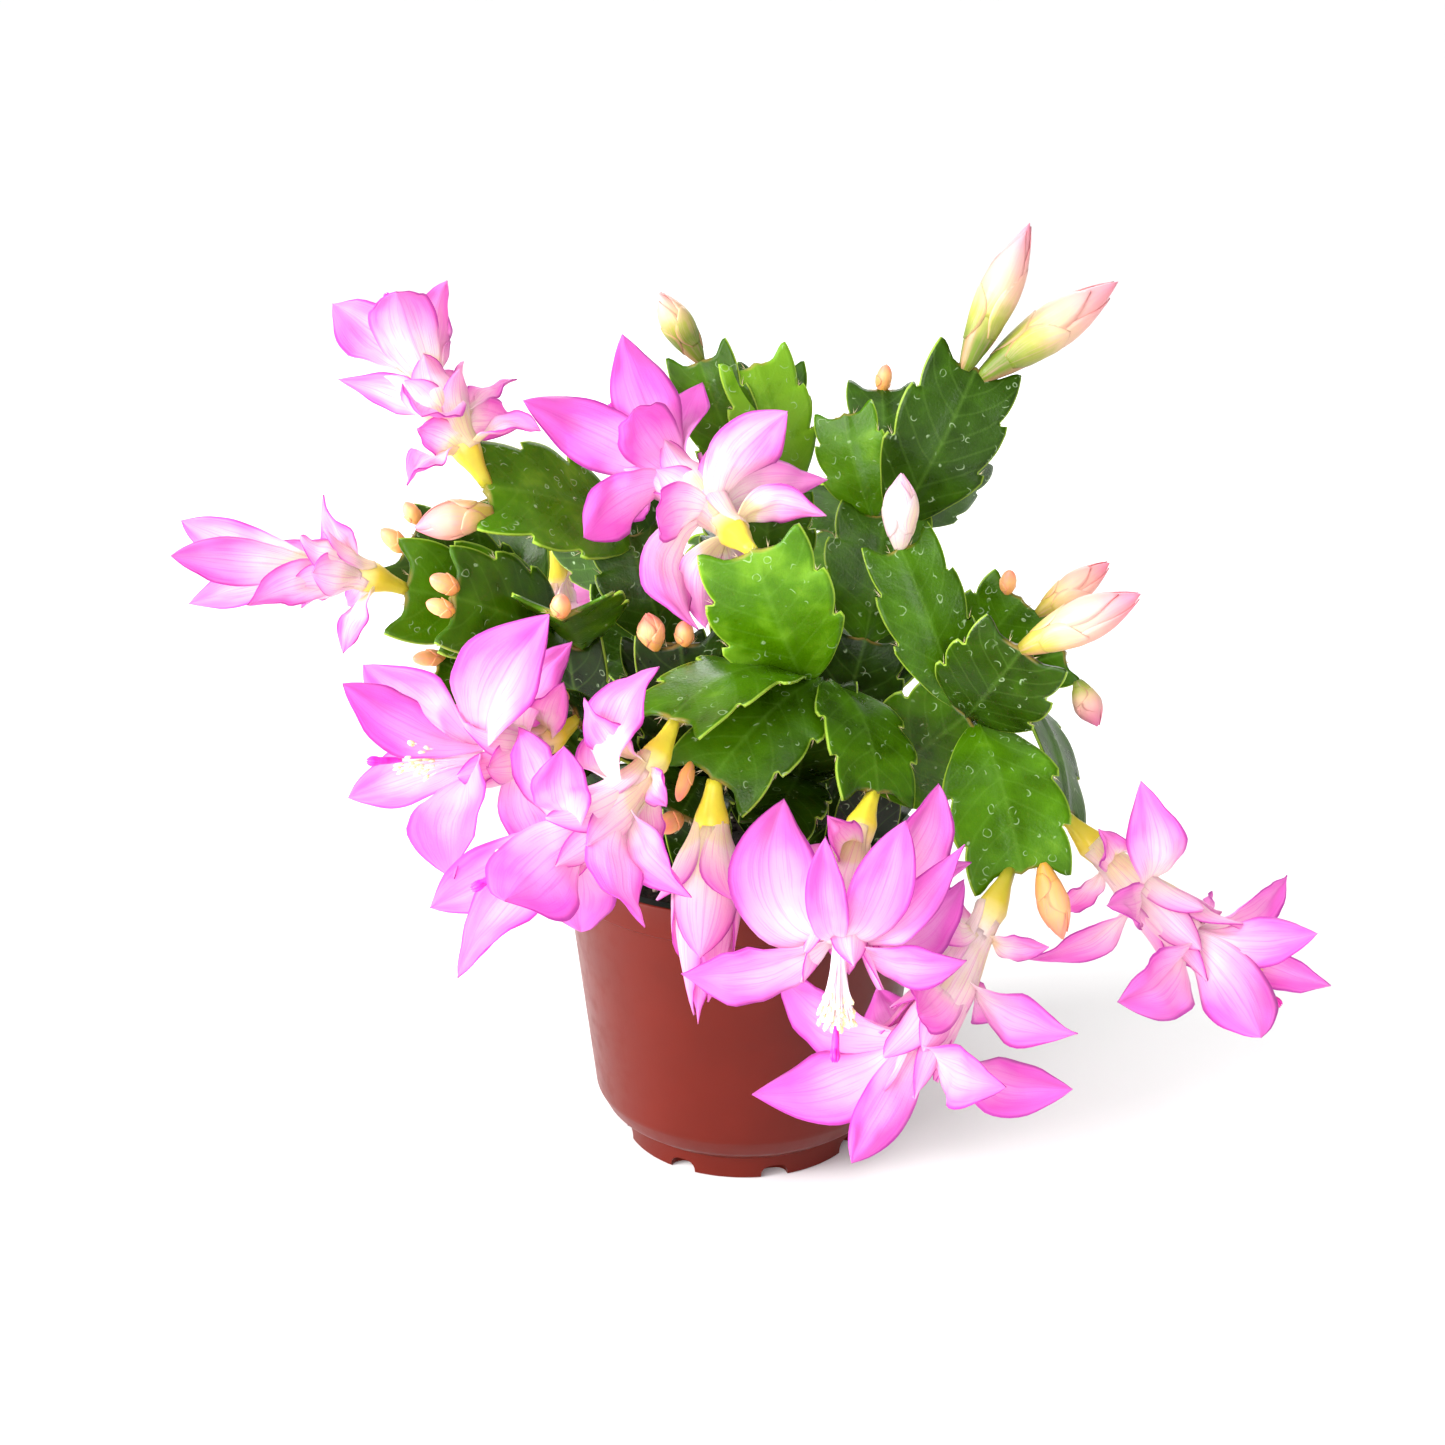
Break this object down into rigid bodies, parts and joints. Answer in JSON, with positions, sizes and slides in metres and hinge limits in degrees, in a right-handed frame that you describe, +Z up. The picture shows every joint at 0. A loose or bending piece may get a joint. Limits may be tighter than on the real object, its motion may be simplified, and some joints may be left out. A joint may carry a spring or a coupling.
{
  "type": "potted thanksgiving cactus",
  "caption": "Bushy holiday cactus with flat toothed stem pads, pink layered blooms and pointed buds, rooted in soil in a small tapered plastic nursery pot that stands on its flat foot.",
  "frame": {"origin": "centre of the pot's underside, on the surface that the pot stands on", "axes": "+Z up along the pot's axis, -Y the showy side that the picture shows, +X to the right seen from there"},
  "size_m": [0.2452, 0.2368, 0.214],
  "materials": {
    "pot": "satin terracotta-brown moulded plastic, darker inside",
    "soil": "moist black peat compost with a few tan grains",
    "leaf": "waxy fleshy green stem pad with a satin sheen",
    "petal": "thin translucent petal, magenta-pink at its edges and white at its heart",
    "bud": "smooth waxy bud, green-yellow at its foot, cream, and pink at its tip"
  },
  "bodies": {
    "root": {"pot": "pot", "potting_soil": "soil", "stem_front": "leaf", "stem_low_left": "leaf", "stem_left_mid": "leaf", "stem_left_back": "leaf", "stem_left_top": "leaf", "stem_top": "leaf", "stem_right_top": "leaf", "stem_right_front": "leaf", "stem_right_back": "leaf", "stem_back_left": "leaf", "stem_back": "leaf", "stem_back_right": "leaf", "bloom_top_left": "petal", "bloom_left": "petal", "bloom_top": "petal", "bloom_low_left": "petal", "bloom_far_left": "petal", "bloom_front": "petal", "bloom_low_right": "petal", "bloom_right": "petal", "bloom_back_left": "petal", "bud_top_pale": "bud", "bud_top_right_tall": "bud", "bud_top_right_wide": "bud", "bud_top_small": "bud", "bud_top_right_small": "bud", "bud_white": "bud", "bud_right_upper": "bud", "bud_right_inner": "bud", "bud_right_wide": "bud", "bud_right_hanging": "bud", "bud_low_orange": "bud", "bud_left_pink": "bud", "bud_left_far": "bud", "bud_left_far_small": "bud", "bud_left_pair_low": "bud", "bud_left_pair_high": "bud", "bud_left_fold": "bud", "bud_left_low": "bud", "bud_middle_large": "bud", "bud_middle_small": "bud", "bud_inner_left": "bud", "bud_under_left": "bud", "bud_hanging_red": "bud", "bud_hanging_white": "bud", "bud_under_front": "bud", "bud_back_wide": "bud", "bud_back_slim": "bud", "bud_back_middle": "bud", "bud_back_side": "bud"}
  },
  "joints": []
}
